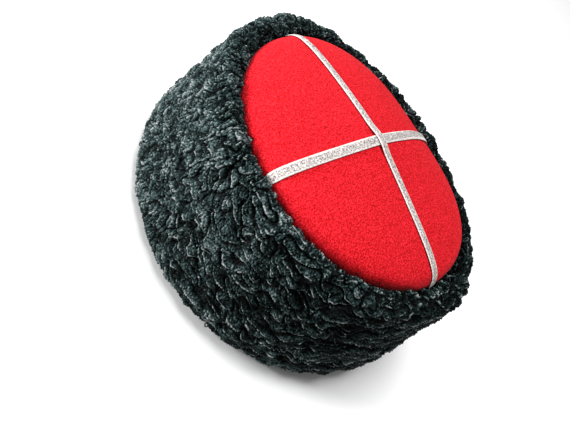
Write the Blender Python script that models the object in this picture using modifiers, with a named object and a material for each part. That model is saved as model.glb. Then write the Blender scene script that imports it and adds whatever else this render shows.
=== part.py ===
"""Low papakha: a band of curly lambskin, a domed cloth crown sunk in its rolled rim, and two crossed braids.

Metres, +Z up, front towards -Y. The origin is the middle of the hem, on the surface that the hat stands on.
"""

import math

import bmesh
import bpy
from mathutils import Vector

# Driving sizes: the head that it fits, the height of the band and the mean radius of the cloth crown.
HEAD_GIRTH = 0.590
BAND_HEIGHT = 0.0896
CROWN_RADIUS = 0.0846

# The wall with its pile, the turned-under hem and the rolled rim.
WALL = 0.0151
GAP = 0.0003
HEAD_RADIUS = HEAD_GIRTH / (2 * math.pi)
HEM_RADIUS = HEAD_RADIUS + WALL
SEAT_RADIUS = CROWN_RADIUS + GAP
ROLL_WIDTH = 0.0172
ROLL_DEPTH = 0.0090
RIM_RADIUS = SEAT_RADIUS + ROLL_WIDTH
SEAT_DEPTH = 0.0200
LIP_DEPTH = 0.0240
LIP_STEP = 0.0030
HEM_ROUND_OUT = 0.0085
HEM_ROUND_UP = 0.0150
HEM_ROUND_IN = 0.0025

# The plan of each level. It is an oval, longer from front to back, whose two sides may differ: half_length
# is its reach to the front and back, right and left are its reach to +X and -X of its widest line, middle is
# that line's place on X, and turn, in degrees, is how far the whole oval is turned about Z.
# Worn on a head, the top has been pressed in at one place: pressed is how far.
PLAN_COLUMNS = ("half_length", "right", "left", "middle", "turn", "pressed")
PLAN = {
    "head": (HEAD_RADIUS + 0.0030, HEAD_RADIUS - 0.0030, HEAD_RADIUS - 0.0030, 0.0, -21.0, 0.0),
    "hem": (HEM_RADIUS + 0.0030, HEM_RADIUS - 0.0030, HEM_RADIUS - 0.0030, 0.0, -21.0, 0.0),
    "seat": (SEAT_RADIUS + 0.0021, SEAT_RADIUS - 0.0021, SEAT_RADIUS - 0.0021, 0.0005, 0.0, 0.0080),
    "rim": (RIM_RADIUS + 0.0029, RIM_RADIUS + 0.0068, RIM_RADIUS - 0.0151, -0.0093, 0.0, 0.0080),
}
PRESS_DIRECTION = math.radians(197)
PRESS_SPREAD = 2.5

# The rim stands higher on the right than on the left.
RIM_TILT = 0.0045

# The cloth crown: a shallow cone that rolls over at its edge into a sewn-in skirt.
CLOTH = 0.0022
EDGE_LEVEL = 0.0908
EDGE_TILT = 0.0010
EDGE_ROUND_IN = 0.0062
EDGE_ROUND_DOWN = 0.0056
EDGE_RUN = math.pi / 2 * math.hypot(EDGE_ROUND_IN, EDGE_ROUND_DOWN) / math.sqrt(2)
FLAT_RUN = CROWN_RADIUS - EDGE_ROUND_IN
EDGE_RISE = 0.0050
EDGE_POWER = 8
CONE_RISE = 0.0112
CONE_POWER = 1.15
CONE_TIP = 0.10
CONE_LEAN_FRONT = 0.20
CONE_LEAN_RIGHT = 0.10
SKIRT_DEPTH = 0.0170

# The woven braids that cross on the crown. The lengthwise one is narrower and lies a little to the right.
CROSSWISE_WIDTH = 0.0064
LENGTHWISE_WIDTH = 0.0056
LENGTHWISE_MIDDLE = 0.0008
BRAID_THICKNESS = 0.0008
BRAID_GAP = 0.00045
BRAID_END_CLEAR = 0.0048
CROSS_RAMP = 0.0050
SLOPE_STEP = 0.0007

# The relief of the pile that these solids carry: broad clumps of curls that lie round the band.
CLUMP_HEIGHT = 0.0014
CLUMPS_ROUND = 27
CLUMP_RISE = 0.0185
CLUMP_WANDER = 1.4

# How finely the solids are cut.
BAND_STEPS = 116
WALL_ROWS = 15
ROLL_ROWS = 4
HEM_ROWS = 5
HEM_INNER_ROWS = 2
INSIDE_ROWS = 3
CROWN_STEPS = 56
CONE_ROWS = 7
EDGE_ROWS = 4
BRAID_STEPS = 40

FUR_COLOUR = (0.012, 0.017, 0.016, 1.0)
CLOTH_COLOUR = (0.72, 0.012, 0.020, 1.0)
BRAID_COLOUR = (0.62, 0.60, 0.58, 1.0)


def clear_scene():
    for found in list(bpy.data.objects):
        bpy.data.objects.remove(found, do_unlink=True)


def material(name, colour, roughness, metallic=0.0):
    made = bpy.data.materials.new(name)
    made.use_nodes = True
    shader = made.node_tree.nodes["Principled BSDF"]
    shader.inputs["Base Color"].default_value = colour
    shader.inputs["Roughness"].default_value = roughness
    shader.inputs["Metallic"].default_value = metallic
    made.diffuse_color = colour
    return made


def clamp(value):
    return min(max(value, 0.0), 1.0)


def smooth(value):
    """Runs from 0 to 1 with a soft start and end."""
    value = clamp(value)
    return value * value * (3 - 2 * value)


def quarter(centre, half_wide, half_high, start, steps):
    """A quarter of an ellipse in the profile, clockwise from the angle start, in degrees."""
    for step in range(steps + 1):
        angle = math.radians(start - 90 * step / steps)
        yield centre[0] + half_wide * math.cos(angle), centre[1] + half_high * math.sin(angle)


def straight(start, end, rows):
    """The points between start and end, without the ends."""
    for row in range(1, rows):
        share = row / rows
        yield start[0] + (end[0] - start[0]) * share, start[1] + (end[1] - start[1]) * share


def band_profile():
    """The band's section: over the roll, down the outside, under the hem and up the inside."""
    shoulder = (RIM_RADIUS, BAND_HEIGHT - ROLL_DEPTH)
    hem_side = (HEM_RADIUS, HEM_ROUND_UP)
    inside_low = (HEAD_RADIUS, HEM_ROUND_IN)
    inside_high = (SEAT_RADIUS + LIP_STEP, BAND_HEIGHT - LIP_DEPTH)
    seat_low = (SEAT_RADIUS, BAND_HEIGHT - SEAT_DEPTH)
    roll_middle = (SEAT_RADIUS + ROLL_WIDTH / 2, BAND_HEIGHT - ROLL_DEPTH)
    hem_corner = (HEM_RADIUS - HEM_ROUND_OUT, HEM_ROUND_UP)
    inner_corner = (HEAD_RADIUS + HEM_ROUND_IN, HEM_ROUND_IN)
    points = list(quarter(roll_middle, ROLL_WIDTH / 2, ROLL_DEPTH, 90, ROLL_ROWS))
    points += straight(shoulder, hem_side, WALL_ROWS)
    points += quarter(hem_corner, HEM_ROUND_OUT, HEM_ROUND_UP, 0, HEM_ROWS)
    points += quarter(inner_corner, HEM_ROUND_IN, HEM_ROUND_IN, 270, HEM_INNER_ROWS)
    points += straight(inside_low, inside_high, INSIDE_ROWS)
    points += [inside_high, seat_low]
    points += list(quarter(roll_middle, ROLL_WIDTH / 2, ROLL_DEPTH, 180, ROLL_ROWS - 1))[:-1]
    return points


def crown_section(run):
    """Radius and drop of the crown's round section, at a run along it from its middle; it has no dome yet."""
    turn = math.pi / 2 * clamp((run - FLAT_RUN) / EDGE_RUN)
    radius = min(run, FLAT_RUN) + EDGE_ROUND_IN * math.sin(turn)
    drop = EDGE_ROUND_DOWN * (1 - math.cos(turn)) + max(run - FLAT_RUN - EDGE_RUN, 0.0)
    return radius, drop


def run_to_drop(drop):
    """The run at which the crown's section has dropped so far."""
    turn = math.acos(1 - clamp(drop / EDGE_ROUND_DOWN))
    return FLAT_RUN + EDGE_RUN * turn / (math.pi / 2) + max(drop - EDGE_ROUND_DOWN, 0.0)


def crown_profile():
    """The crown's section from its middle out to its edge and down its skirt; its plate is still flat."""
    runs = [FLAT_RUN * (row / CONE_ROWS) ** 0.8 for row in range(CONE_ROWS + 1)]
    runs += [FLAT_RUN + EDGE_RUN * (row + 1) / EDGE_ROWS for row in range(EDGE_ROWS)]
    runs += [run_to_drop((EDGE_ROUND_DOWN + SKIRT_DEPTH) / 2), run_to_drop(SKIRT_DEPTH)]
    sections = [crown_section(run) for run in runs]
    return [(radius, -drop) for radius, drop in sections]


def turned(name, points, steps, closed):
    """A plain mesh turned about Z from a profile in the XZ plane."""
    mesh = bpy.data.meshes.new(name)
    edges = [(index, index + 1) for index in range(len(points) - 1)]
    if closed:
        edges.append((len(points) - 1, 0))
    mesh.from_pydata([(radius, 0.0, height) for radius, height in points], edges, [])
    blank = bpy.data.objects.new(name + "_profile", mesh)
    bpy.context.scene.collection.objects.link(blank)
    screw = blank.modifiers.new("turn", "SCREW")
    screw.axis = "Z"
    screw.angle = 2 * math.pi
    screw.steps = steps
    screw.render_steps = steps
    screw.use_merge_vertices = True
    screw.merge_threshold = 0.00005
    depsgraph = bpy.context.evaluated_depsgraph_get()
    result = bpy.data.meshes.new_from_object(blank.evaluated_get(depsgraph))
    result.name = name
    bpy.data.objects.remove(blank, do_unlink=True)
    return result


def outline(level, angle, pressing=True):
    """The point of a level's oval at an angle about Z, pressed in where the hat is."""
    plan = dict(zip(PLAN_COLUMNS, PLAN[level]))
    turn = math.radians(plan["turn"])
    own_angle = angle - turn
    reach = plan["right"] if math.cos(own_angle) > 0 else plan["left"]
    along = reach * math.cos(own_angle)
    across = plan["half_length"] * math.sin(own_angle)
    x = plan["middle"] + along * math.cos(turn) - across * math.sin(turn)
    y = along * math.sin(turn) + across * math.cos(turn)
    if not pressing:
        return x, y
    facing = max(math.cos(math.atan2(y, x) - PRESS_DIRECTION), 0.0)
    push = plan["pressed"] * facing**PRESS_SPREAD
    return x - push * math.cos(PRESS_DIRECTION), y - push * math.sin(PRESS_DIRECTION)


def between(first, second, share):
    return tuple(a + (b - a) * share for a, b in zip(first, second))


def in_plan(x, y, z):
    """Moves a point of the turned band to its place in the ovals."""
    angle = math.atan2(y, x)
    inside = smooth(z / (BAND_HEIGHT - LIP_DEPTH))
    outside = clamp((z - HEM_ROUND_UP) / (BAND_HEIGHT - ROLL_DEPTH - HEM_ROUND_UP))
    inner_radius = HEAD_RADIUS + (SEAT_RADIUS - HEAD_RADIUS) * inside
    outer_radius = HEM_RADIUS + (RIM_RADIUS - HEM_RADIUS) * outside
    inner = between(outline("head", angle), outline("seat", angle), inside)
    outer = between(outline("hem", angle), outline("rim", angle), outside)
    share = (math.hypot(x, y) - inner_radius) / (outer_radius - inner_radius)
    return between(inner, outer, share)


def clump(angle, height):
    """Height of the broad clumps of curls, from -1 to 1; it closes on itself round the band."""
    rows = 2 * math.pi * height / CLUMP_RISE
    wander = CLUMP_WANDER * math.sin(3 * angle + 0.5 * rows)
    first = math.sin(CLUMPS_ROUND * angle + wander)
    second = math.sin(rows + 1.3 * math.sin((CLUMPS_ROUND // 3) * angle + 0.8) + 0.6 * wander)
    return 0.5 * (first + second)


def fur_band(colour):
    """Curly lambskin over a stiff wall, turned round, set in its ovals and given its clumps."""
    mesh = turned("fur_band", band_profile(), BAND_STEPS, closed=True)
    inner_wall = SEAT_RADIUS + LIP_STEP
    relief = []
    for vertex in mesh.vertices:
        x, y, z = vertex.co
        outer = smooth((math.hypot(x, y) - inner_wall) / (ROLL_WIDTH / 2))
        relief.append(CLUMP_HEIGHT * outer * smooth(z / HEM_ROUND_UP) * clump(math.atan2(y, x), z))
        place = in_plan(x, y, z)
        lift = RIM_TILT * place[0] / RIM_RADIUS * smooth(z / BAND_HEIGHT)
        vertex.co = (place[0], place[1], z + lift)
    mesh.update()
    pushed = [vertex.co + vertex.normal * height for vertex, height in zip(mesh.vertices, relief)]
    for vertex, place in zip(mesh.vertices, pushed):
        vertex.co = place
    return show("fur_band", mesh, colour)


def crown_point(x, y):
    """Moves a place on the round crown to the seat's oval, and gives the dome's height there."""
    across = x / CROWN_RADIUS
    along = y / CROWN_RADIUS
    reach = min(math.hypot(across, along), 1.0)
    angle = math.atan2(y, x)
    middle = PLAN["seat"][PLAN_COLUMNS.index("middle")]
    whole = outline("seat", angle, pressing=False)
    pressed = outline("seat", angle)
    scale = math.hypot(x, y) / SEAT_RADIUS
    plan_x = middle + (whole[0] - middle) * scale + (pressed[0] - whole[0]) * reach * reach
    plan_y = whole[1] * scale + (pressed[1] - whole[1]) * reach * reach
    tip = (reach * reach + CONE_TIP * CONE_TIP) ** (CONE_POWER / 2)
    full = (1 + CONE_TIP * CONE_TIP) ** (CONE_POWER / 2)
    lean = 1 - CONE_LEAN_FRONT * along + CONE_LEAN_RIGHT * across
    cone = CONE_RISE * (full - tip) * lean
    edge = EDGE_RISE * (1 - reach**EDGE_POWER)
    return Vector((plan_x, plan_y, EDGE_LEVEL + EDGE_TILT * across + cone + edge))


def crown_cloth(colour):
    """The cloth crown: a domed plate whose edge rolls down into a skirt sewn inside the rim."""
    mesh = turned("crown_cloth", crown_profile(), CROWN_STEPS, closed=False)
    for vertex in mesh.vertices:
        vertex.co = crown_point(vertex.co.x, vertex.co.y) + Vector((0.0, 0.0, vertex.co.z))
    mesh.update()
    made = show("crown_cloth", mesh, colour)
    thicken(made, CLOTH)
    return made


def thicken(target, thickness):
    """Gives a cloth surface its thickness, on the side away from its normals."""
    wall = target.modifiers.new("thickness", "SOLIDIFY")
    wall.thickness = thickness
    wall.offset = -1.0
    wall.use_even_offset = False
    return wall


def braid_lift(run, lengthwise):
    """How far a braid stands over the cloth: the lengthwise one climbs over the other where they cross."""
    base = BRAID_GAP + BRAID_THICKNESS
    if not lengthwise:
        return base
    clear = CROSSWISE_WIDTH / 2 + CROSS_RAMP - abs(run)
    return base + (BRAID_THICKNESS + BRAID_GAP) * smooth(clear / CROSS_RAMP)


def cloth_under(run, side, lengthwise):
    """The cloth's outer face under a braid, at a run from the crossing and a distance off its middle line."""
    radius, drop = crown_section(abs(run))
    foot = math.copysign(radius, run)
    place = crown_point(side, foot) if lengthwise else crown_point(foot, side)
    return place - Vector((0.0, 0.0, drop))


def braid_reach(angle):
    """How far a braid that runs out at an angle goes before its end meets the roll."""
    roll_foot = BAND_HEIGHT - ROLL_DEPTH + RIM_TILT * outline("seat", angle)[0] / RIM_RADIUS
    edge = EDGE_LEVEL + EDGE_TILT * math.cos(angle)
    return run_to_drop(edge - roll_foot - BRAID_END_CLEAR)


def braid(name, lengthwise, width, middle, colour):
    """A woven tape laid over the crown from rim to rim, its ends tucked down beside the roll."""
    heading = math.pi / 2 if lengthwise else 0.0
    ahead = braid_reach(heading)
    behind = braid_reach(heading + math.pi)
    made = bmesh.new()
    bmesh.ops.create_grid(made, x_segments=BRAID_STEPS, y_segments=2, size=1.0)
    for vertex in made.verts:
        run = vertex.co.x * (ahead if vertex.co.x > 0 else behind)
        side = middle + vertex.co.y * width / 2
        place = cloth_under(run, side, lengthwise)
        ahead_of = cloth_under(run + SLOPE_STEP, side, lengthwise)
        behind_it = cloth_under(run - SLOPE_STEP, side, lengthwise)
        left_of = cloth_under(run, side - SLOPE_STEP, lengthwise)
        right_of = cloth_under(run, side + SLOPE_STEP, lengthwise)
        outward = (ahead_of - behind_it).cross(right_of - left_of).normalized()
        if outward.z < 0:
            outward.negate()
        vertex.co = place + outward * braid_lift(run, lengthwise)
    bmesh.ops.recalc_face_normals(made, faces=made.faces)
    if sum(face.normal.z for face in made.faces) < 0:
        bmesh.ops.reverse_faces(made, faces=made.faces)
    mesh = bpy.data.meshes.new(name)
    made.to_mesh(mesh)
    made.free()
    tape = show(name, mesh, colour)
    thicken(tape, BRAID_THICKNESS)
    return tape


def show(name, mesh, colour):
    """Puts a mesh in the hat's collection under its own name and material."""
    mesh.materials.clear()
    mesh.materials.append(colour)
    mesh.shade_smooth()
    made = bpy.data.objects.new(name, mesh)
    hat_collection().objects.link(made)
    return made


def hat_collection():
    found = bpy.data.collections.get("papakha")
    if found is None:
        found = bpy.data.collections.new("papakha")
        bpy.context.scene.collection.children.link(found)
    return found


def main():
    clear_scene()
    fur = material("lambskin", FUR_COLOUR, 0.62)
    cloth = material("red_cloth", CLOTH_COLOUR, 0.90)
    silver = material("silver_braid", BRAID_COLOUR, 0.45, 0.3)
    fur_band(fur)
    crown_cloth(cloth)
    braid("braid_crosswise", False, CROSSWISE_WIDTH, 0.0, silver)
    braid("braid_lengthwise", True, LENGTHWISE_WIDTH, LENGTHWISE_MIDDLE, silver)


main()
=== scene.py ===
"""A low papakha on its hem: curly black lambskin, a red cloth crown and two crossed silver braids."""

import math

import bmesh
import bpy
import numpy as np
from mathutils import Matrix, Vector
from mathutils.bvhtree import BVHTree
from mathutils.kdtree import KDTree


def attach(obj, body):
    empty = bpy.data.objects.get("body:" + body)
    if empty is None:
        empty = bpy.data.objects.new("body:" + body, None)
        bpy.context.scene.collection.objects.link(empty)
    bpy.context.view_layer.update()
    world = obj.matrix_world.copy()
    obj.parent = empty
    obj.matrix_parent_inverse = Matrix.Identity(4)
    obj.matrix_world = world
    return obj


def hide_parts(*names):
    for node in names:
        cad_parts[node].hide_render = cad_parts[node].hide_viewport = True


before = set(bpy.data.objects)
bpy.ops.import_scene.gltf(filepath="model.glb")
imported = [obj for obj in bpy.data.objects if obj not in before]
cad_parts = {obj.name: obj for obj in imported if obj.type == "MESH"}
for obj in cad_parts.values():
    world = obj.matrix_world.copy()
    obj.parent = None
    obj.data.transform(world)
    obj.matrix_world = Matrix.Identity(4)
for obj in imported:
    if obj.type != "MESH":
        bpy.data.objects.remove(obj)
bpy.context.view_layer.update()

# The shape of the lambskin band.
# The skin is glued and sewn over a stiff wall. It is rolled over at the rim, where the crown is sewn in, and
# turned under at the hem. Its own shape is read from the band's solid, one upright section at a time.
SECTIONS = 240
ROLL_LEVEL, HEM_LEVEL = 0.0780, 0.0130
LIP_TURN, SHOULDER_TURN, UNDER_TURN = 212, 0, -118
ROLL_RAYS, SIDE_RAYS, HEM_RAYS = 24, 22, 14
WALL_LEAST, SIDE_MARGIN, JOIN_REACH = 0.0005, 0.003, 1e-5
AROUND, DOWN = 1360, 238
FINEST_WAVE, SMOOTHING_REACH = 60, 4


def merged(node):
    """A solid's surface with its corners joined, for reading its shape."""
    skin = bmesh.new()
    skin.from_mesh(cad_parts[node].data)
    bmesh.ops.remove_doubles(skin, verts=skin.verts, dist=JOIN_REACH)
    return skin


band_skin = merged("fur_band")
band_tree = BVHTree.FromBMesh(band_skin)


def wall_at(outward, level):
    """The inner and the outer face of the band's wall, at a height in one direction from the middle."""
    inner = band_tree.ray_cast(Vector((0.0, 0.0, level)), outward)[0]
    outer = band_tree.ray_cast(inner + outward * WALL_LEAST, outward)[0]
    return inner, outer


def fan(middle, outward, turns):
    """Where rays from a point inside the wall come out, each turned so many degrees up from outward."""
    for turn in turns:
        angle = math.radians(turn)
        heading = outward * math.cos(angle) + Vector((0.0, 0.0, math.sin(angle)))
        yield band_tree.ray_cast(middle, heading)[0]


def band_section(outward):
    """The outside of the band in one direction: from the lip over the roll, down the side, under the hem."""
    roll_middle = sum(wall_at(outward, ROLL_LEVEL), Vector()) / 2
    hem_middle = sum(wall_at(outward, HEM_LEVEL), Vector()) / 2
    side_levels = np.linspace(ROLL_LEVEL - SIDE_MARGIN, HEM_LEVEL + SIDE_MARGIN, SIDE_RAYS)
    places = list(fan(roll_middle, outward, np.linspace(LIP_TURN, SHOULDER_TURN, ROLL_RAYS)))
    places += [wall_at(outward, level)[1] for level in side_levels]
    places += list(fan(hem_middle, outward, np.linspace(SHOULDER_TURN, UNDER_TURN, HEM_RAYS)))
    return np.array(places)


def evenly(places, count):
    """So many places at even steps along a line of places."""
    steps = np.linalg.norm(np.diff(places, axis=0), axis=1)
    run = np.concatenate([[0.0], np.cumsum(steps)])
    wanted = np.linspace(0.0, run[-1], count)
    return np.stack([np.interp(wanted, run, places[:, axis]) for axis in range(3)], axis=1)


def softened(values, reach):
    """Values smoothed along their second axis."""
    steps = np.arange(-3 * reach, 3 * reach + 1)
    weights = np.exp(-0.5 * (steps / reach) ** 2)
    weights /= weights.sum()
    padded = np.pad(values, ((0, 0), (3 * reach, 3 * reach), (0, 0)), mode="reflect", reflect_type="odd")
    return sum(weight * padded[:, start : start + values.shape[1]] for start, weight in enumerate(weights))


def refined(values, count, finest):
    """More values round the hat, with nothing finer than so many waves round it."""
    waves = np.fft.rfft(values, axis=0)
    fade = np.exp(-((np.arange(len(waves)) / finest) ** 4))
    return np.fft.irfft(waves * fade[:, None, None], n=count, axis=0) * (count / len(values))


def surface_normals(places):
    """Outward normals of a grid whose first axis runs round the hat and whose second runs down it."""
    around = np.roll(places, -1, axis=0) - np.roll(places, 1, axis=0)
    down = np.gradient(places, axis=1)
    normals = np.cross(down, around)
    return normals / np.linalg.norm(normals, axis=2, keepdims=True)


headings = [2 * math.pi * number / SECTIONS for number in range(SECTIONS)]
sections = [band_section(Vector((math.cos(turn), math.sin(turn), 0.0))) for turn in headings]
coarse = np.stack([evenly(section, DOWN) for section in sections])
skin_places = softened(refined(coarse, AROUND, FINEST_WAVE), SMOOTHING_REACH)
skin_normals = surface_normals(skin_places)
PILE_PITCH = float(np.linalg.norm(np.diff(skin_places, axis=1), axis=2).mean())

# The curls of the lambskin.
# Karakul pile, soft folded locks that grow from the skin, with narrow clefts between them. They run down the
# front, slant on the side and lie like scales at the back, and on the roll they open over the crown's edge.
RIDGE_GAP, FINE_GAP, TUFT_GAP = 0.0082, 0.0060, 0.0040
# Places are degrees round the hat, counted from its near side. Beside them stand shares, degrees or metres.
FINE_PLACES, FINE_SHARE = (-140, -110, -26, -8), (0.0, 1.0, 1.0, 0.0)
# Each row gives how folds are turned, in degrees, and how many times as long as wide they are.
RIDGE_LAYS = ((-22.5, 7.0), (0.0, 4.6), (22.5, 3.2), (45.0, 2.3), (67.5, 1.9), (90.0, 1.9))
LAY_STEP = 22.5
LAY_PLACES = (-130, -60, -20, -9, 3, 15, 37, 46, 60, 90, 180)
LAY_TURNS = (20, 70, 90, 84, 20, 10, 4, -16, -18, -12, 0)
LAY_SWING = 11
CURL_GAP = 0.0088
HAIR_GAP = 0.0017
SWIRL_ROUND, SWIRL_DOWN, FOLD_SWIRL = 0.0024, 0.0020, 0.45
ROLL_END, ROLL_END_SWING = (0.013, 0.029), 0.003
LIP_PLACE, LIP_WIDTH = 0.0010, 0.00062
MOUND_GAP, MOUND_HEIGHT = 0.0160, 0.0010
LUMP_FULLNESS, LUMP_POWER, LUMP_HEIGHT = 1.3, 0.7, 0.0022
LIP_HEIGHT = 0.00050
TUFT_HEIGHT = 0.00100
HAIR_HEIGHT = 0.00028
# Glow shares: the pile's lightness, painted from its relief as highlight on lumps and lips and as shade in
# the clefts, with random tone from the hair and mounds.
MOUND_GLOW, LUMP_GLOW, TUFT_GLOW, HAIR_GLOW, LIP_GLOW = 0.10, 0.32, 0.30, 0.09, 0.32
MOUND_MIDDLE, GLOW_DROP = 0.7, 0.17
# Painted shade: the pile is made darker on the side that faces away from the window light and on the roll,
# and the painted highlights on its lips are raised there.
PAINTED_SIDE_SHADE_PLACES = (-95, -50, -20, 5, 20, 37, 60, 90, 140, 200)
PAINTED_SIDE_SHADE = (0.05, -0.02, -0.02, 0.015, 0.03, 0.06, 0.065, 0.14, 0.07, 0.03)
PILE_FOOT = 0.0028
LUMP_LEAN, LEAN_SWING = 0.0011, 0.5
SEAM_FADE, UNDER_ROWS = (0.001, 0.010), (26, 6)
OVER_PLACES = (-61, -35, -10, 4, 22, 45, 75, 88, 100, 119, 144, 182, 224, 255, 278)
OVER_REACH = (
    0.0024, 0.0038, 0.0026, 0.0024, -0.0010, -0.0014, 0.0028, 0.0,
    -0.0030, -0.0045, -0.0010, 0.0038, 0.0020, 0.0, 0.0,
)
OVER_RUN, OVER_SPREAD = 0.0110, 0.0060
OVER_SEAM_PLACES, OVER_SEAM_SPREAD = (80, 100, 150, 170), (0.0036, 0.0060, 0.0060, 0.0036)
HIGH_PLACES, HIGH_REACH = (150, 169, 181, 195, 215, 238), (0.0, 0.0014, 0.0020, 0.0014, 0.0008, 0.0)
HIGH_RUN, HIGH_SPREAD = 0.0190, 0.0110
TUCK_PLACES, HEM_TUCK = (-30, -5, 18, 45, 68, 95, 125), (0.0, 0.0005, 0.0018, 0.0042, 0.0040, 0.0012, 0.0)
TUCK_LEVELS = (0.004, 0.034)
PILE_LEAST_LEVEL = 0.0003
FIELD_DOWN = 288
KARAKUL_CONTRAST = 0.70
QUARTERS = ("right", "back", "left", "front")


def waves(seed, run, gap, turn=0.0, spread=0.33):
    """Noise that closes round the hat: waves of one length along a direction and another across it."""
    white = np.random.default_rng(seed).standard_normal((AROUND, FIELD_DOWN))
    round_rate = np.fft.fftfreq(AROUND, PILE_PITCH)[:, None]
    down_rate = np.fft.rfftfreq(FIELD_DOWN, PILE_PITCH)[None, :]
    slope = math.radians(turn)
    along = round_rate * math.cos(slope) + down_rate * math.sin(slope)
    across = down_rate * math.cos(slope) - round_rate * math.sin(slope)
    size = np.hypot(along * run, across * gap)
    kept = np.exp(-0.5 * ((size - 1.0) / spread) ** 2)
    field = np.fft.irfft2(np.fft.rfft2(white) * kept, s=white.shape)
    return field / field.std()


def drawn(field, shift_round, shift_down):
    """A field read at places that are shifted over the skin, so that its waves bend and swirl."""
    row = np.arange(AROUND)[:, None] + shift_round / PILE_PITCH
    place = np.arange(FIELD_DOWN)[None, :] + shift_down / PILE_PITCH
    this_row, this_place = np.floor(row).astype(int), np.floor(place).astype(int)
    row_share, place_share = row - this_row, place - this_place
    this_row, this_place = this_row % AROUND, this_place % FIELD_DOWN
    next_row, next_place = (this_row + 1) % AROUND, (this_place + 1) % FIELD_DOWN
    here = field[this_row, this_place] * (1 - place_share) + field[this_row, next_place] * place_share
    beyond = field[next_row, this_place] * (1 - place_share) + field[next_row, next_place] * place_share
    return here * (1 - row_share) + beyond * row_share


def lumps_of(field, fullness):
    """Soft lumps from 0 to 1 with a narrow cleft wherever the field passes through nothing."""
    return np.tanh(fullness * np.abs(field)) ** LUMP_POWER


def lip_of(field):
    """1 along the lower edge of each lump, just above its cleft, and 0 elsewhere."""
    slope_round = (np.roll(field, -1, axis=0) - np.roll(field, 1, axis=0)) / (2 * PILE_PITCH)
    slope_down = np.gradient(field, PILE_PITCH, axis=1)
    steep = np.hypot(slope_round, slope_down)
    away = np.abs(field) / np.hypot(steep, 0.3 * steep.mean())
    low_side = 0.5 - 0.5 * np.tanh(2.0 * np.sign(field) * slope_down / steep)
    return low_side * np.exp(-(((away - LIP_PLACE) / LIP_WIDTH) ** 2))


def step_up(values, low, high):
    """A smooth step from 0 below one value to 1 above another."""
    share = np.clip((values - low) / (high - low), 0.0, 1.0)
    return share * share * (3 - 2 * share)


swirl_round = SWIRL_ROUND * waves(11, run=0.016, gap=0.012)
swirl_down = SWIRL_DOWN * waves(12, run=0.018, gap=0.012)
azimuth = np.degrees(np.arange(AROUND) * (2 * math.pi / AROUND))[:, None]
azimuth[azimuth > 180] -= 360
run_down = np.arange(FIELD_DOWN)[None, :] * PILE_PITCH
lay = np.interp(azimuth, LAY_PLACES, LAY_TURNS, period=360)
lay = lay + LAY_SWING * waves(13, run=0.040, gap=0.040)
roll = 1.0 - step_up(run_down + ROLL_END_SWING * waves(14, run=0.03, gap=0.03), *ROLL_END)


def laid(seed, gap, length, round_gap):
    """Folds that follow the lay of the pile, and have no direction on the roll."""
    field = np.sqrt(roll) * waves(seed, run=round_gap, gap=round_gap)
    turned = np.clip(lay, RIDGE_LAYS[0][0], RIDGE_LAYS[-1][0])
    for number, (turn, stretch) in enumerate(RIDGE_LAYS, 1):
        share = np.clip(1 - np.abs(turned - turn) / LAY_STEP, 0.0, 1.0)
        run = gap * (1 + (stretch - 1) * length)
        field += np.sqrt((1 - roll) * share) * waves(seed + number, run, gap, turn)
    return field


fine = np.interp(azimuth, FINE_PLACES, FINE_SHARE, period=360)
folds = np.sqrt(1 - fine) * laid(20, RIDGE_GAP, length=1.0, round_gap=CURL_GAP)
folds = folds + np.sqrt(fine) * laid(60, FINE_GAP, length=1.0, round_gap=FINE_GAP)
folds = drawn(folds, FOLD_SWIRL * swirl_round, FOLD_SWIRL * swirl_down)
tufts = laid(40, TUFT_GAP, length=0.5, round_gap=TUFT_GAP)
tufts = drawn(tufts, FOLD_SWIRL * swirl_round, FOLD_SWIRL * swirl_down)
hair = waves(28, run=HAIR_GAP, gap=HAIR_GAP, spread=0.4)
mounds = drawn(waves(29, run=1.3 * MOUND_GAP, gap=MOUND_GAP), swirl_round, swirl_down)
mounds = np.abs(mounds) ** LUMP_POWER
lumps = lumps_of(folds, LUMP_FULLNESS)
lips = lip_of(folds) * np.clip(0.8 + 0.35 * waves(15, run=0.010, gap=0.010), 0.0, 1.4)
small_lumps = lumps_of(tufts, LUMP_FULLNESS)
depth = MOUND_HEIGHT * mounds + LUMP_HEIGHT * (1 - 0.2 * fine) * lumps + LIP_HEIGHT * lips
depth += TUFT_HEIGHT * small_lumps * (0.4 + 0.6 * lumps)
depth = (depth + HAIR_HEIGHT * hair)[:, :DOWN]
# Painted shade on the roll and on the side away from the light, by direction round the hat.
painted_shade = 0.05 + 0.05 * roll + np.interp(azimuth, PAINTED_SIDE_SHADE_PLACES, PAINTED_SIDE_SHADE, period=360)
# The glow is partly random tone from the hair and mound noise and partly painted light: painted highlight on
# the tops of the lumps and on the lips along their lower edges, painted shade in the clefts between them.
glow = MOUND_GLOW * (mounds - MOUND_MIDDLE) + LUMP_GLOW * lumps
glow += TUFT_GLOW * small_lumps * (0.3 + 0.7 * lumps)
glow += HAIR_GLOW * hair
glow += (LIP_GLOW + 1.2 * painted_shade) * (1 - 0.3 * roll - 0.45 * fine) * lips - painted_shade - GLOW_DROP
glow = np.clip(glow, -0.3, 1.0)[:, :DOWN]
seam_fade = step_up(np.arange(DOWN)[None, :] * PILE_PITCH, *SEAM_FADE)
under_fade = 1.0 - step_up(np.arange(DOWN)[None, :], DOWN - UNDER_ROWS[0], DOWN - UNDER_ROWS[1])
pile_depth = seam_fade * (0.25 + 0.75 * under_fade)
lift = depth * pile_depth - PILE_FOOT
lean_angle = LEAN_SWING * waves(16, run=0.035, gap=0.030)[:, :DOWN, None]
around_way = np.roll(skin_places, -1, axis=0) - np.roll(skin_places, 1, axis=0)
around_way /= np.linalg.norm(around_way, axis=2, keepdims=True)
down_way = np.cross(around_way, skin_normals)
lean_way = np.cos(lean_angle) * down_way + np.sin(lean_angle) * around_way
pile_places = skin_places + skin_normals * lift[:, :, None]
pile_places += lean_way * (LUMP_LEAN * lumps[:, :DOWN] * pile_depth)[:, :, None]
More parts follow.
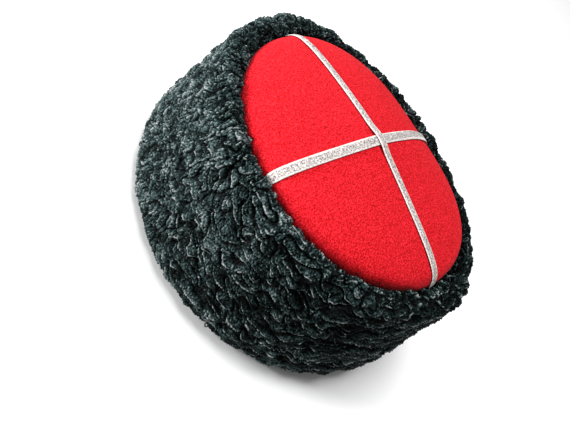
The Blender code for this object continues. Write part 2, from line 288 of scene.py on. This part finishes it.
run_down = run_down[:, :DOWN]
over = np.interp(azimuth, OVER_PLACES, OVER_REACH, period=360)
over = over * (0.8 + 0.2 * waves(17, run=0.012, gap=0.012)[:, :DOWN])
seam_spread = np.interp(azimuth, OVER_SEAM_PLACES, OVER_SEAM_SPREAD)
over_spread = np.where(run_down < OVER_RUN, seam_spread, OVER_SPREAD)
over *= np.exp(-(((run_down - OVER_RUN) / over_spread) ** 2))
tuck_fade = 1.0 - step_up(skin_places[:, :, 2], *TUCK_LEVELS)
tuck = np.interp(azimuth, TUCK_PLACES, HEM_TUCK) * tuck_fade * under_fade
inward = -skin_places * (1.0, 1.0, 0.0)
inward /= np.linalg.norm(inward, axis=2, keepdims=True)
pile_places += inward * (over + tuck)[:, :, None]
high = np.interp(azimuth, HIGH_PLACES, HIGH_REACH, period=360)
pile_places[:, :, 2] += high * np.exp(-(((run_down - HIGH_RUN) / HIGH_SPREAD) ** 2))
pile_places[:, :, 2] = np.maximum(pile_places[:, :, 2], PILE_LEAST_LEVEL)


def grid_piece(name, places, numbers):
    """A smooth mesh over a grid of places, with a number at each corner for its material."""
    first, second = places.shape[:2]
    index = np.arange(first * second).reshape(first, second)
    faces = np.stack([index[:-1, :-1], index[:-1, 1:], index[1:, 1:], index[1:, :-1]], axis=-1)
    faces = faces.reshape(-1, 4)
    mesh = bpy.data.meshes.new(name)
    mesh.vertices.add(first * second)
    mesh.vertices.foreach_set("co", places.reshape(-1))
    mesh.loops.add(faces.size)
    mesh.loops.foreach_set("vertex_index", faces.reshape(-1))
    mesh.polygons.add(len(faces))
    mesh.polygons.foreach_set("loop_start", np.arange(0, faces.size, 4))
    for label, values in numbers.items():
        mesh.attributes.new(label, "FLOAT", "POINT").data.foreach_set("value", values.reshape(-1))
    mesh.update(calc_edges=True)
    mesh.shade_smooth()
    piece = bpy.data.objects.new(name, mesh)
    bpy.context.scene.collection.objects.link(piece)
    return piece


def link(tree, source, output, target, socket):
    """Joins an output of one node to an input of another."""
    tree.links.new(source.outputs[output], target.inputs[socket])


def grain_group():
    """Fine noise over a piece, as a value from 0 to 1 and as the normal of a surface with that relief."""
    group = bpy.data.node_groups.new("grain", "ShaderNodeTree")
    for name in ("Scale", "Detail", "Unevenness", "Depth"):
        group.interface.new_socket(name, in_out="INPUT", socket_type="NodeSocketFloat")
    group.interface.new_socket("Value", in_out="OUTPUT", socket_type="NodeSocketFloat")
    group.interface.new_socket("Normal", in_out="OUTPUT", socket_type="NodeSocketVector")
    given, result = group.nodes.new("NodeGroupInput"), group.nodes.new("NodeGroupOutput")
    place = group.nodes.new("ShaderNodeTexCoord")
    noise = group.nodes.new("ShaderNodeTexNoise")
    link(group, place, "Object", noise, "Vector")
    link(group, given, "Scale", noise, "Scale")
    link(group, given, "Detail", noise, "Detail")
    link(group, given, "Unevenness", noise, "Roughness")
    relief = group.nodes.new("ShaderNodeBump")
    link(group, given, "Depth", relief, "Distance")
    link(group, noise, "Fac", relief, "Height")
    link(group, noise, "Fac", result, "Value")
    link(group, relief, "Normal", result, "Normal")
    return group


def add_grain(tree, scale, detail, unevenness, depth=0.0):
    """Puts the grain in a material: scale in waves per metre, depth in metres."""
    grain = tree.nodes.new("ShaderNodeGroup")
    grain.node_tree = bpy.data.node_groups.get("grain") or grain_group()
    for name, value in (("Scale", scale), ("Detail", detail), ("Unevenness", unevenness), ("Depth", depth)):
        grain.inputs[name].default_value = value
    return grain


def add_ramp(tree, stops):
    """A colour ramp from places and colours."""
    ramp = tree.nodes.new("ShaderNodeValToRGB")
    for _ in range(len(stops) - 2):
        ramp.color_ramp.elements.new(0.5)
    for stop, (place, colour) in zip(ramp.color_ramp.elements, stops):
        stop.position, stop.color = place, (*colour, 1.0)
    return ramp


def new_material(name, roughness, specular):
    """A material with its node tree and its Principled BSDF."""
    made = bpy.data.materials.new(name)
    made.use_nodes = True
    shader = made.node_tree.nodes["Principled BSDF"]
    shader.inputs["Roughness"].default_value = roughness
    shader.inputs["Specular IOR Level"].default_value = specular
    return made, made.node_tree, shader


def karakul_material():
    """Black hair in dark grey-green, nearly black where the glow is low; the glow holds painted highlights
    on the crests and lips of its curls, painted shade in their clefts, and random tone.
    """
    made, tree, shader = new_material("karakul", roughness=0.55, specular=0.04)
    height = tree.nodes.new("ShaderNodeAttribute")
    height.attribute_name = "glow"
    tufts = add_grain(tree, scale=820.0, detail=3.0, unevenness=0.70)
    spread = tree.nodes.new("ShaderNodeMath")
    spread.operation = "MULTIPLY_ADD"
    spread.inputs[1].default_value = KARAKUL_CONTRAST
    link(tree, tufts, "Value", spread, 0)
    link(tree, height, "Fac", spread, 2)
    greens = ((0.30, 0.0001), (0.46, 0.0009), (0.57, 0.0065), (0.70, 0.031), (0.81, 0.095), (0.96, 0.240))
    reds = [(0.30 + 1.35 * math.sqrt(green)) * green for _, green in greens]
    shade = add_ramp(tree, [(place, (red, green, green)) for red, (place, green) in zip(reds, greens)])
    link(tree, spread, 0, shade, "Fac")
    link(tree, shade, "Color", shader, "Base Color")
    strands = add_grain(tree, scale=1500.0, detail=2.0, unevenness=0.5, depth=0.0002)
    link(tree, strands, "Normal", shader, "Normal")
    return made


karakul = karakul_material()
quarter_rows = AROUND // len(QUARTERS)
for number, side in enumerate(QUARTERS):
    taken = np.arange(number * quarter_rows, (number + 1) * quarter_rows + 1) % AROUND
    pile = grid_piece("pile_" + side, pile_places[taken], {"glow": glow[taken]})
    pile.data.materials.append(karakul)
    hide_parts("fur_band")
    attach(pile, "root")

# Loose locks of the pile.
# Here and there the end of a lock curls up out of the pile as a small open ring. They stand closest together
# along the roll, where the skin is bent and the pile opens.
LOCKS_EVERY_SQUARE_M = 6000.0
ROLL_LOCKS, ROLL_LOCKS_PLACE, ROLL_LOCKS_SPREAD = 2.5, 0.016, 0.010
LOCKS_START, LOCKS_END = (0.007, 0.011), (0.020, 0.012)
GROUND_STEP_ROUND, GROUND_STEP_DOWN = 8, 6
LOCKS_SEED = 5
LOCK_RADIUS = 0.00135
LOCK_THICKNESS = 0.00040
RING_CORNERS, RING_SWEEP, HAIR_CORNERS = 9, 285, 4
LOCK_TURNS = (0.9, math.pi, 0.6)
LOCK_SIZES, LOCK_GLOWS = (0.7, 1.3), (0.10, 0.45)


def socket_of(tree, name):
    """The identifier of a tree's input."""
    return next(item.identifier for item in tree.interface.items_tree if item.name == name)


def locks_tree(hair_finish):
    """Open rings of hair, stood at random on a surface."""
    tree = bpy.data.node_groups.new("loose_locks", "GeometryNodeTree")
    tree.interface.new_socket("Geometry", in_out="INPUT", socket_type="NodeSocketGeometry")
    for name in ("Locks per square metre", "Ring radius", "Hair thickness"):
        tree.interface.new_socket(name, in_out="INPUT", socket_type="NodeSocketFloat")
    tree.interface.new_socket("Seed", in_out="INPUT", socket_type="NodeSocketInt")
    tree.interface.new_socket("Geometry", in_out="OUTPUT", socket_type="NodeSocketGeometry")
    make = tree.nodes.new
    given, result = make("NodeGroupInput"), make("NodeGroupOutput")
    crowd = make("GeometryNodeInputNamedAttribute")
    crowd.data_type = "FLOAT"
    crowd.inputs["Name"].default_value = "crowd"
    density = make("ShaderNodeMath")
    density.operation = "MULTIPLY"
    link(tree, given, "Locks per square metre", density, 0)
    link(tree, crowd, "Attribute", density, 1)
    feet = make("GeometryNodeDistributePointsOnFaces")
    link(tree, given, "Geometry", feet, "Mesh")
    link(tree, density, 0, feet, "Density")
    link(tree, given, "Seed", feet, "Seed")
    ring = make("GeometryNodeCurveArc")
    ring.inputs["Resolution"].default_value = RING_CORNERS
    ring.inputs["Sweep Angle"].default_value = math.radians(RING_SWEEP)
    link(tree, given, "Ring radius", ring, "Radius")
    hair_end = make("GeometryNodeCurvePrimitiveCircle")
    hair_end.inputs["Resolution"].default_value = HAIR_CORNERS
    link(tree, given, "Hair thickness", hair_end, "Radius")
    tube = make("GeometryNodeCurveToMesh")
    tube.inputs["Fill Caps"].default_value = True
    link(tree, ring, "Curve", tube, "Curve")
    link(tree, hair_end, "Curve", tube, "Profile Curve")
    upright = make("FunctionNodeAlignRotationToVector")
    upright.axis = "Y"
    link(tree, feet, "Normal", upright, "Vector")
    spin = make("FunctionNodeRandomValue")
    spin.data_type = "FLOAT_VECTOR"
    spin.inputs["Min"].default_value = [-turn for turn in LOCK_TURNS]
    spin.inputs["Max"].default_value = LOCK_TURNS
    link(tree, given, "Seed", spin, "Seed")
    spun = make("FunctionNodeRotateRotation")
    spun.rotation_space = "LOCAL"
    link(tree, upright, "Rotation", spun, "Rotation")
    link(tree, spin, "Value", spun, "Rotate By")
    sizes = make("FunctionNodeRandomValue")
    sizes.data_type = "FLOAT"
    sizes.inputs[2].default_value, sizes.inputs[3].default_value = LOCK_SIZES
    link(tree, given, "Seed", sizes, "Seed")
    placed = make("GeometryNodeInstanceOnPoints")
    link(tree, feet, "Points", placed, "Points")
    link(tree, tube, "Mesh", placed, "Instance")
    link(tree, spun, "Rotation", placed, "Rotation")
    link(tree, sizes, 1, placed, "Scale")
    whole = make("GeometryNodeRealizeInstances")
    link(tree, placed, "Instances", whole, "Geometry")
    lightness = make("FunctionNodeRandomValue")
    lightness.data_type = "FLOAT"
    lightness.inputs[2].default_value, lightness.inputs[3].default_value = LOCK_GLOWS
    stored = make("GeometryNodeStoreNamedAttribute")
    stored.data_type = "FLOAT"
    stored.inputs["Name"].default_value = "glow"
    link(tree, whole, "Geometry", stored, "Geometry")
    link(tree, lightness, 1, stored, "Value")
    finish = make("GeometryNodeSetMaterial")
    finish.inputs["Material"].default_value = hair_finish
    link(tree, stored, "Geometry", finish, "Geometry")
    link(tree, finish, "Geometry", result, "Geometry")
    return tree


run_rows = np.arange(DOWN) * PILE_PITCH
locks_ends = [run_rows[-1] - reach for reach in LOCKS_END]
crowd = 1.0 + ROLL_LOCKS * np.exp(-(((run_rows - ROLL_LOCKS_PLACE) / ROLL_LOCKS_SPREAD) ** 2))
crowd *= step_up(run_rows, *LOCKS_START) * (1.0 - step_up(run_rows, *locks_ends))
crowd = crowd[::GROUND_STEP_DOWN]
ground_rows = np.append(np.arange(AROUND)[::GROUND_STEP_ROUND], 0)
ground_places = (skin_places + inward * tuck[:, :, None])[ground_rows][:, ::GROUND_STEP_DOWN]
ground = grid_piece("locks_ground", ground_places, {"crowd": np.tile(crowd, (len(ground_rows), 1))})
grown = ground.modifiers.new("grown", "NODES")
grown.node_group = locks_tree(karakul)
for label, value in (
    ("Locks per square metre", LOCKS_EVERY_SQUARE_M),
    ("Ring radius", LOCK_RADIUS),
    ("Hair thickness", LOCK_THICKNESS),
    ("Seed", LOCKS_SEED),
):
    grown[socket_of(grown.node_group, label)] = value
locks_mesh = bpy.data.meshes.new_from_object(ground.evaluated_get(bpy.context.evaluated_depsgraph_get()))
bpy.data.objects.remove(ground, do_unlink=True)
locks = bpy.data.objects.new("loose_locks", locks_mesh)
locks_mesh.shade_smooth()
bpy.context.scene.collection.objects.link(locks)
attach(locks, "root")

# The inside of the band.
# The flesh side of the lambskin where it is turned under at the hem, and the plain stiff wall above it. It
# shows only from below; under the pile it is the wall that the curls stand on.
PILE_ROOM = 0.0034
INNER_TOP = (0.0715, 0.0775)
FURRED_SLOPE = (0.05, 0.45)
FLAT_ANGLE, SKEW_ANGLE = 0.6, 1.2


def hide_material():
    """Suede-like skin, dyed black with the hair, a little uneven and scuffed."""
    made, tree, shader = new_material("skin_back", roughness=0.90, specular=0.15)
    patches = add_grain(tree, scale=60.0, detail=8.0, unevenness=0.65)
    shade = add_ramp(tree, ((0.35, (0.016, 0.015, 0.014)), (0.70, (0.052, 0.048, 0.043))))
    link(tree, patches, "Value", shade, "Fac")
    link(tree, shade, "Color", shader, "Base Color")
    nap = add_grain(tree, scale=1300.0, detail=3.0, unevenness=0.5, depth=0.00015)
    link(tree, nap, "Normal", shader, "Normal")
    return made


def fine_copy(name, node, levels):
    """A solid's form as a finer, smooth mesh."""
    skin = merged(node)
    bmesh.ops.join_triangles(
        skin,
        faces=skin.faces,
        angle_face_threshold=FLAT_ANGLE,
        angle_shape_threshold=SKEW_ANGLE,
        cmp_seam=False,
    )
    mesh = bpy.data.meshes.new(name)
    skin.to_mesh(mesh)
    skin.free()
    rough = bpy.data.objects.new(name + "_rough", mesh)
    bpy.context.scene.collection.objects.link(rough)
    smoothing = rough.modifiers.new("finer", "SUBSURF")
    smoothing.levels = smoothing.render_levels = levels
    evaluated = rough.evaluated_get(bpy.context.evaluated_depsgraph_get())
    finer = bpy.data.meshes.new_from_object(evaluated)
    finer.name = name
    bpy.data.objects.remove(rough, do_unlink=True)
    finer.shade_smooth()
    piece = bpy.data.objects.new(name, finer)
    bpy.context.scene.collection.objects.link(piece)
    return piece


def corners_of(piece):
    """The places of a piece's corners."""
    places = np.empty(3 * len(piece.data.vertices))
    piece.data.vertices.foreach_get("co", places)
    return places.reshape(-1, 3)


def move_corners(piece, places):
    """Puts a piece's corners in new places."""
    piece.data.vertices.foreach_set("co", places.reshape(-1))
    piece.data.update()


inside = fine_copy("band_inside", "fur_band", levels=1)
corners = corners_of(inside)
slopes = np.empty(corners.size)
inside.data.vertex_normals.foreach_get("vector", slopes)
slopes = slopes.reshape(-1, 3)
outward = (corners[:, :2] * slopes[:, :2]).sum(axis=1) / np.linalg.norm(corners[:, :2], axis=1)
furred = np.maximum(step_up(outward, *FURRED_SLOPE), step_up(corners[:, 2], *INNER_TOP))
room = np.interp(np.degrees(np.arctan2(corners[:, 1], corners[:, 0])), TUCK_PLACES, HEM_TUCK)
room = furred * (PILE_ROOM + room * (1.0 - step_up(corners[:, 2], *TUCK_LEVELS)))
move_corners(inside, corners - slopes * room[:, None])
inside.data.materials.clear()
inside.data.materials.append(hide_material())
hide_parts("fur_band")
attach(inside, "root")

# The red cloth crown.
# A disc of red napped wool cloth, stiffened and stretched into a shallow cone, rolled over at its edge and
# sewn to the lambskin inside the rim. The edge has settled lower on the far side and stands out at the back.
EDGE_RUN = (0.035, 0.078)
# Each row gives a place and a spread in degrees, and how far the edge moves out and up there, in metres.
EDGE_SHIFTS = ((183, 31, 0.0, -0.0042), (122, 22, 0.0034, 0.0))
LEAST_RADIUS = 1e-6
RIM_ROWS, RIM_STEP = 72, 2
# Painted shade: the cloth is darkened within a few millimetres of the pile, for the shade in the crevice
# where it goes down under the roll.
SEAM_SHADE_TONE, SEAM_SHADE_FULL = -0.34, 0.0006
SEAM_SHADE_PLACES, SEAM_SHADE_CLEAR = (-20, 20, 38, 62, 85), (0.0016, 0.0036, 0.0072, 0.0072, 0.0020)


def wool_material():
    """Red wool cloth: a matted nap with a fine grain, lighter where hairs stand up, and painted shade that
    darkens it near the pile, where it goes down into the crevice.
    """
    made, tree, shader = new_material("red_wool", roughness=0.92, specular=0.12)
    shader.inputs["Sheen Weight"].default_value = 0.05
    shader.inputs["Sheen Tint"].default_value = (1.0, 0.35, 0.38, 1.0)
    nap = add_grain(tree, scale=1100.0, detail=2.0, unevenness=0.6, depth=0.0004)
    painted_seam_shade = tree.nodes.new("ShaderNodeAttribute")
    painted_seam_shade.attribute_name = "painted_seam_shade"
    tone = tree.nodes.new("ShaderNodeMath")
    tone.operation = "MULTIPLY_ADD"
    tone.inputs[1].default_value = SEAM_SHADE_TONE
    link(tree, painted_seam_shade, "Fac", tone, 0)
    link(tree, nap, "Value", tone, 2)
    shade = add_ramp(tree, (
        (0.08, (0.012, 0.0002, 0.0004)),
        (0.36, (0.33, 0.001, 0.003)),
        (0.50, (0.53, 0.004, 0.010)),
        (0.62, (0.74, 0.018, 0.030)),
    ))
    link(tree, tone, 0, shade, "Fac")
    link(tree, shade, "Color", shader, "Base Color")
    link(tree, nap, "Normal", shader, "Normal")
    return made


def settled(piece):
    """Moves the edge of the crown, or a braid on it, out and up by so much around some directions."""
    corners = corners_of(piece)
    turned = np.degrees(np.arctan2(corners[:, 1], corners[:, 0]))
    radius = np.maximum(np.hypot(corners[:, 0], corners[:, 1]), LEAST_RADIUS)
    edge = step_up(radius, *EDGE_RUN)
    for place, spread, out, up in EDGE_SHIFTS:
        share = edge * np.exp(-((((turned - place + 180) % 360 - 180) / spread) ** 2))
        corners[:, :2] *= (1 + out * share / radius)[:, None]
        corners[:, 2] += up * share
    move_corners(piece, corners)


crown = fine_copy("crown_wool", "crown_cloth", levels=2)
settled(crown)
rim_places = pile_places[::RIM_STEP, :RIM_ROWS:RIM_STEP].reshape(-1, 3)
rim_tree = KDTree(len(rim_places))
for number, place in enumerate(rim_places):
    rim_tree.insert(place, number)
rim_tree.balance()
# Painted shade along the crown's edge: darkest beside the pile, gone at a distance that depends on the
# direction.
from_pile = np.array([rim_tree.find(corner.co)[2] for corner in crown.data.vertices])
directions = np.degrees([math.atan2(corner.co.y, corner.co.x) for corner in crown.data.vertices])
painted_seam_shade = crown.data.attributes.new("painted_seam_shade", "FLOAT", "POINT")
clear = np.interp(directions, SEAM_SHADE_PLACES, SEAM_SHADE_CLEAR)
painted_seam_shade.data.foreach_set("value", 1.0 - step_up(from_pile, SEAM_SHADE_FULL, clear))
crown.data.materials.clear()
crown.data.materials.append(wool_material())
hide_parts("crown_cloth")
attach(crown, "root")

# The two silver braids.
# Flat braid woven of silver-white thread, with a smooth selvedge along each edge and a speckled middle. Both
# are sewn to the cloth along their edges and cross at its tip, the one from front to back on top.
SELVEDGE_START, SELVEDGE_FULL = 0.60, 0.78
CROSSWISE_HALF, CROSSWISE_MIDDLE = 0.0032, 0.0
LENGTHWISE_HALF, LENGTHWISE_MIDDLE = 0.0028, 0.0013


def add_math(tree, operation, source, output, value):
    """A sum on a value of another node."""
    step = tree.nodes.new("ShaderNodeMath")
    step.operation = operation
    step.inputs[1].default_value = value
    link(tree, source, output, step, 0)
    return step


def braid_material(name, across_axis, middle, half):
    """Woven silver thread: bright plain selvedges, and a middle where grey shows between the threads."""
    made, tree, shader = new_material(name, roughness=0.60, specular=0.15)
    shader.inputs["Metallic"].default_value = 0.05
    place = tree.nodes.new("ShaderNodeTexCoord")
    sides = tree.nodes.new("ShaderNodeSeparateXYZ")
    link(tree, place, "Object", sides, "Vector")
    off = add_math(tree, "SUBTRACT", sides, across_axis, middle)
    off = add_math(tree, "ABSOLUTE", off, 0, 0.0)
    selvedge = tree.nodes.new("ShaderNodeMapRange")
    selvedge.inputs["From Min"].default_value = SELVEDGE_START * half
    selvedge.inputs["From Max"].default_value = SELVEDGE_FULL * half
    link(tree, off, 0, selvedge, "Value")
    threads = add_grain(tree, scale=1150.0, detail=2.0, unevenness=0.6, depth=0.00018)
    woven = add_ramp(tree, (
        (0.36, (0.12, 0.11, 0.105)),
        (0.52, (0.40, 0.365, 0.35)),
        (0.66, (0.68, 0.64, 0.62)),
    ))
    link(tree, threads, "Value", woven, "Fac")
    plain = add_ramp(tree, ((0.32, (0.38, 0.35, 0.335)), (0.60, (0.74, 0.70, 0.67))))
    link(tree, threads, "Value", plain, "Fac")
    both = tree.nodes.new("ShaderNodeMix")
    both.data_type = "RGBA"
    tree.links.new(selvedge.outputs["Result"], both.inputs["Factor"])
    tree.links.new(woven.outputs["Color"], both.inputs[6])
    tree.links.new(plain.outputs["Color"], both.inputs[7])
    tree.links.new(both.outputs[2], shader.inputs["Base Color"])
    link(tree, threads, "Normal", shader, "Normal")
    return made


for node, across_axis, middle, half in (
    ("braid_crosswise", "Y", CROSSWISE_MIDDLE, CROSSWISE_HALF),
    ("braid_lengthwise", "X", LENGTHWISE_MIDDLE, LENGTHWISE_HALF),
):
    woven = fine_copy("woven_" + node, node, levels=2)
    settled(woven)
    woven.data.materials.clear()
    woven.data.materials.append(braid_material("silver_" + node, across_axis, middle, half))
    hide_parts(node)
    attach(woven, "root")

# The place where the hat stands.
# A pale floor, soft lights from the upper left and the upper right of the picture, and a camera that looks
# down on the crown from the near side, turned so that the hat leans to the right.
FLOOR_OUTLINE = ((-3, -3, 0), (3, -3, 0), (3, 3, 0), (-3, 3, 0))
WORLD_LIGHT = 0.25
floor_mesh = bpy.data.meshes.new("floor")
floor_mesh.from_pydata(FLOOR_OUTLINE, [], [(0, 1, 2, 3)])
floor = bpy.data.objects.new("floor", floor_mesh)
bpy.context.scene.collection.objects.link(floor)
floor_paint = bpy.data.materials.new("floor_paint")
floor_paint.use_nodes = True
floor_shader = floor_paint.node_tree.nodes["Principled BSDF"]
floor_shader.inputs["Base Color"].default_value = (0.92, 0.92, 0.92, 1.0)
floor_shader.inputs["Roughness"].default_value = 0.95
floor.data.materials.append(floor_paint)

world = bpy.data.worlds.new("studio")
bpy.context.scene.world = world
world.use_nodes = True
surround = world.node_tree.nodes["Background"]
surround.inputs["Color"].default_value = (1.0, 1.0, 1.0, 1.0)
surround.inputs["Strength"].default_value = WORLD_LIGHT
bpy.context.scene.view_settings.view_transform = "Standard"

CAMERA_AROUND, CAMERA_UP, CAMERA_ROLL = math.radians(12.51), math.radians(42.75), math.radians(52.99)
CAMERA_AIM_RIGHT, CAMERA_AIM_HEIGHT = -0.0013, 0.0570
CAMERA_REACH = 0.43894
CAMERA_RIGHT_SHIFT, CAMERA_UP_SHIFT = 0.0271, 0.02142
CAMERA_LENS, FRAME_WIDTH = 44.21, 36.0
back = Vector((
    math.cos(CAMERA_AROUND) * math.cos(CAMERA_UP),
    math.sin(CAMERA_AROUND) * math.cos(CAMERA_UP),
    math.sin(CAMERA_UP),
))
level_right = Vector((0.0, 0.0, 1.0)).cross(back).normalized()
level_up = back.cross(level_right)
right = level_right * math.cos(CAMERA_ROLL) + level_up * math.sin(CAMERA_ROLL)
upward = level_up * math.cos(CAMERA_ROLL) - level_right * math.sin(CAMERA_ROLL)
lens = bpy.data.cameras.new("camera")
lens.lens = CAMERA_LENS
lens.sensor_width = FRAME_WIDTH
lens.clip_start = 0.01
camera = bpy.data.objects.new("camera", lens)
bpy.context.scene.collection.objects.link(camera)
aim = Vector((CAMERA_AIM_RIGHT, 0.0, CAMERA_AIM_HEIGHT))
eye = aim + back * CAMERA_REACH - right * CAMERA_RIGHT_SHIFT - upward * CAMERA_UP_SHIFT
turned = Matrix((right, upward, back)).transposed().to_4x4()
camera.matrix_world = Matrix.Translation(eye) @ turned
bpy.context.scene.camera = camera


def soft_light(name, heading, reach, size, power):
    """A square studio light that faces the hat from a direction given in the picture: right, up and near."""
    way = (right * heading[0] + upward * heading[1] + back * heading[2]).normalized()
    panel = bpy.data.lights.new(name, "AREA")
    panel.shape = "SQUARE"
    panel.size = size
    panel.energy = power
    lamp = bpy.data.objects.new(name, panel)
    bpy.context.scene.collection.objects.link(lamp)
    facing = way.to_track_quat("Z", "Y").to_matrix().to_4x4()
    lamp.matrix_world = Matrix.Translation(aim + way * reach) @ facing


soft_light("window_light", heading=(-0.75, 0.47, 0.60), reach=1.0, size=0.30, power=17.0)
soft_light("top_light", heading=(0.55, 0.60, 0.68), reach=1.3, size=0.8, power=23.0)
